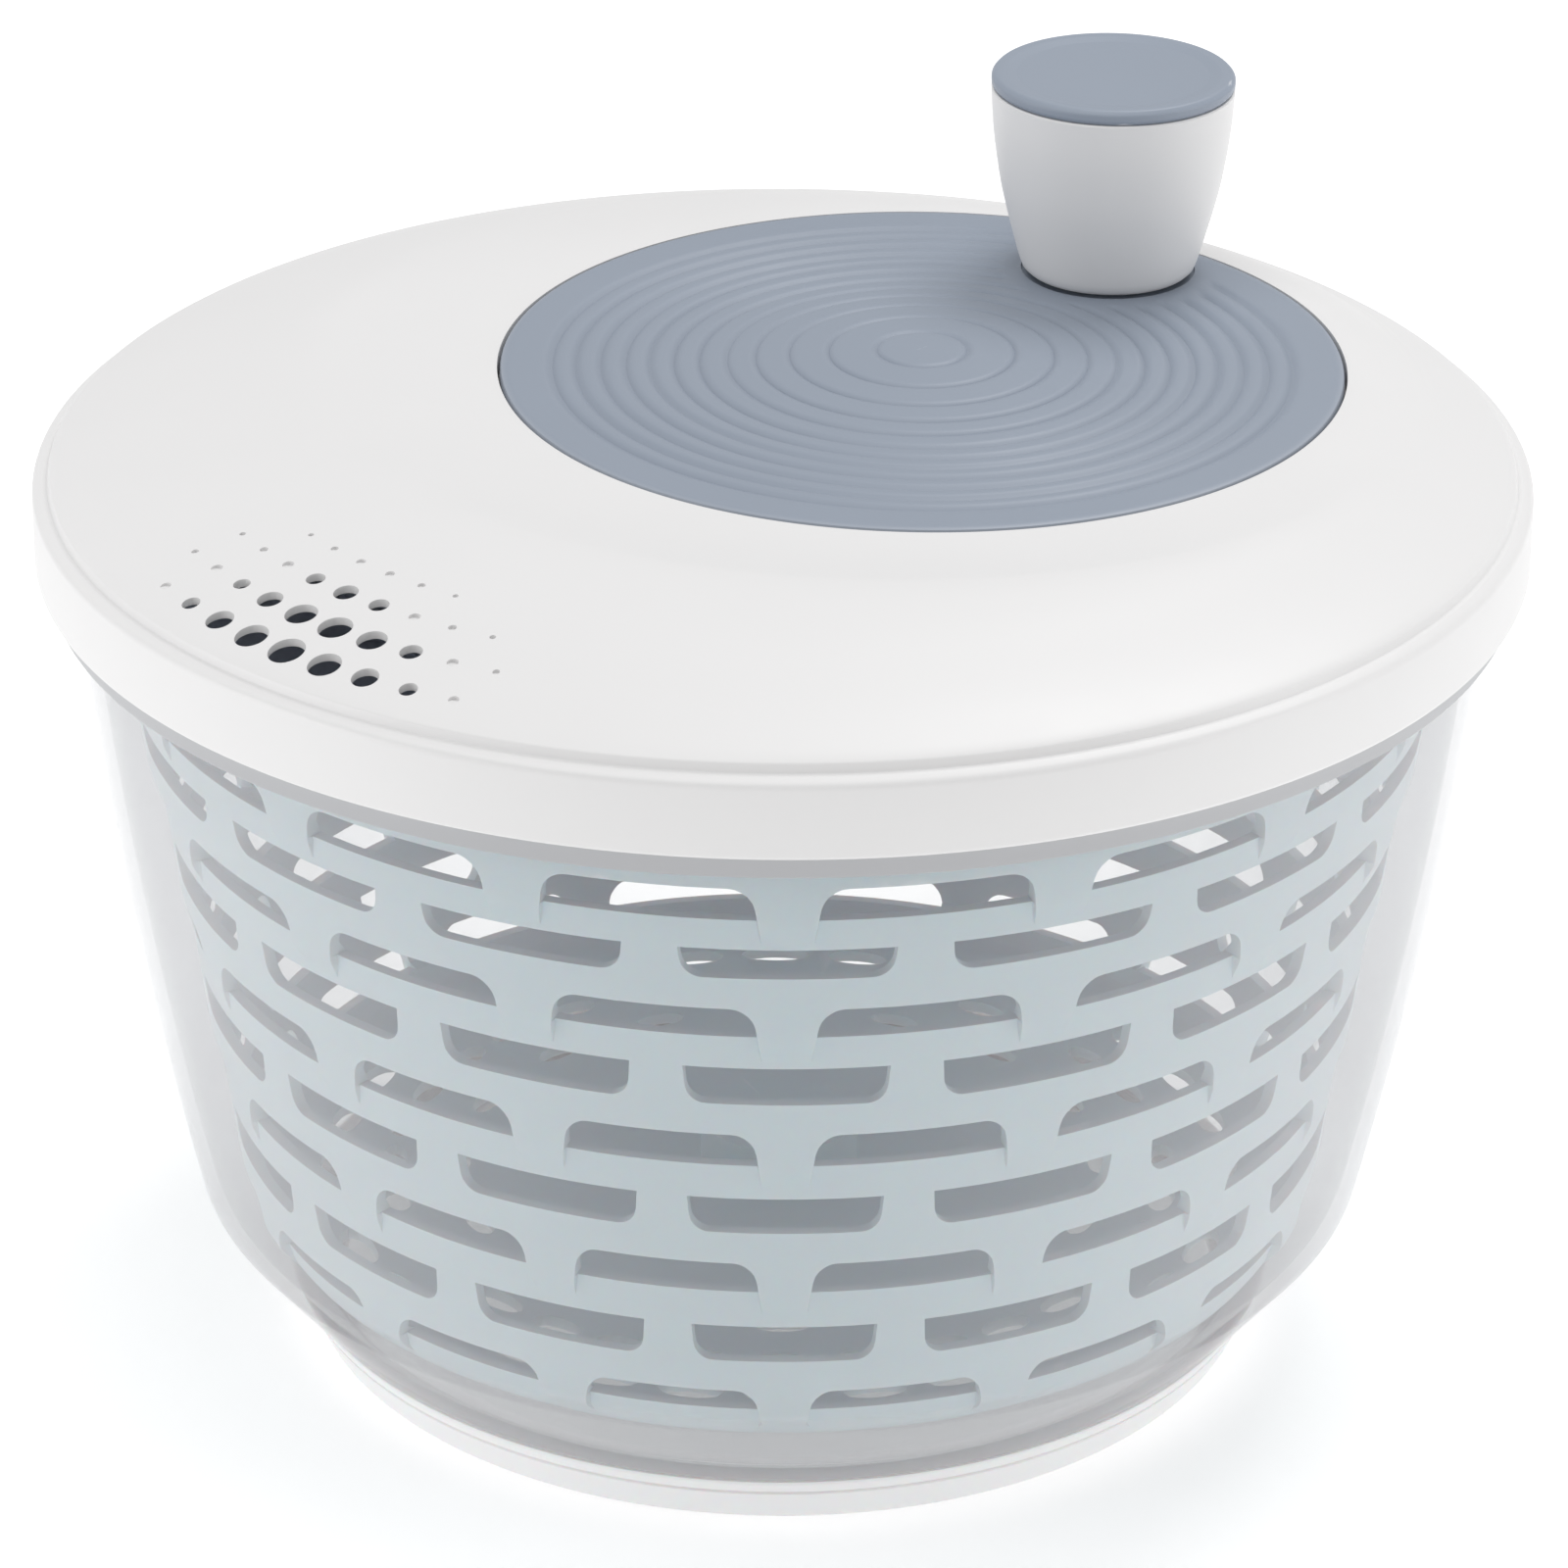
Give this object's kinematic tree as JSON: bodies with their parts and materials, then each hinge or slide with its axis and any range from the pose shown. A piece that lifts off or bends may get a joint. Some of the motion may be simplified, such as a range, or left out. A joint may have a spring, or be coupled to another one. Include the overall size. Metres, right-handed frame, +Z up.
{
  "type": "salad spinner",
  "caption": "Hand-cranked salad spinner: off-centre crank knob on a domed lid, geared to a slotted basket that turns inside a clear tapered bowl.",
  "frame": {"origin": "on the table, at the centre of the foot ring, under the basket's axis", "axes": "+Z up; -Y towards the user, with the pour holes front left; the crank's axis lies back right of the basket's"},
  "size_m": [0.2608, 0.2608, 0.2098],
  "materials": {
    "clear_plastic": "polished clear",
    "frosted_rubber": "frosted",
    "mint_plastic": "satin translucent",
    "white_plastic": "fine satin",
    "slate_plastic": "fine satin",
    "acetal": "smooth",
    "steel": "turned"
  },
  "bodies": {
    "bowl": {"bowl": "clear_plastic", "foot_ring": "frosted_rubber", "pivot_pin": "steel"},
    "pivot": {"pivot_bush": "acetal"},
    "basket": {"basket": "mint_plastic"},
    "lid": {"lid_shell": "white_plastic", "gear_housing": "white_plastic", "housing_screw_1": "steel", "housing_screw_2": "steel", "housing_screw_3": "steel", "housing_screw_4": "steel"},
    "crank": {"crank_disc": "slate_plastic", "ring_gear": "acetal", "gear_screw_1": "steel", "gear_screw_2": "steel", "gear_screw_3": "steel", "crank_washer": "steel", "crank_screw": "steel", "knob_spindle": "steel", "knob_screw": "steel"},
    "knob": {"knob_body": "white_plastic", "knob_bush": "acetal", "knob_cap": "slate_plastic"},
    "drive": {"drive_plate": "slate_plastic", "drive_pinion": "acetal", "drive_screw": "steel"}
  },
  "joints": [
    {"name": "lid_lift", "type": "slide", "parent": "bowl", "child": "lid", "axis": [0, 0, 1], "range_m": [0, 0.2]},
    {"name": "crank_turn", "type": "hinge", "parent": "lid", "child": "crank", "pos_m": [0.02452, 0.02319, 0.16], "axis": [0, 0, 1], "continuous": true},
    {"name": "knob_spin", "type": "hinge", "parent": "crank", "child": "knob", "pos_m": [0.05959, 0.06939, 0.19], "axis": [0, 0, 1], "continuous": true},
    {"name": "drive_spin", "type": "hinge", "parent": "lid", "child": "drive", "pos_m": [0, 0, 0.15], "axis": [0, 0, 1], "continuous": true},
    {"name": "basket_spin", "type": "hinge", "parent": "bowl", "child": "pivot", "pos_m": [0, 0, 0.02], "axis": [0, 0, 1], "continuous": true},
    {"name": "basket_lift", "type": "slide", "parent": "pivot", "child": "basket", "axis": [0, 0, 1], "range_m": [0, 0.1]}
  ],
  "couplings": [
    {"joint": "drive_spin", "follows": "crank_turn", "ratio": 3},
    {"joint": "basket_spin", "follows": "crank_turn", "ratio": 3},
    {"joint": "basket_lift", "follows": "lid_lift", "ratio": 0.5}
  ]
}
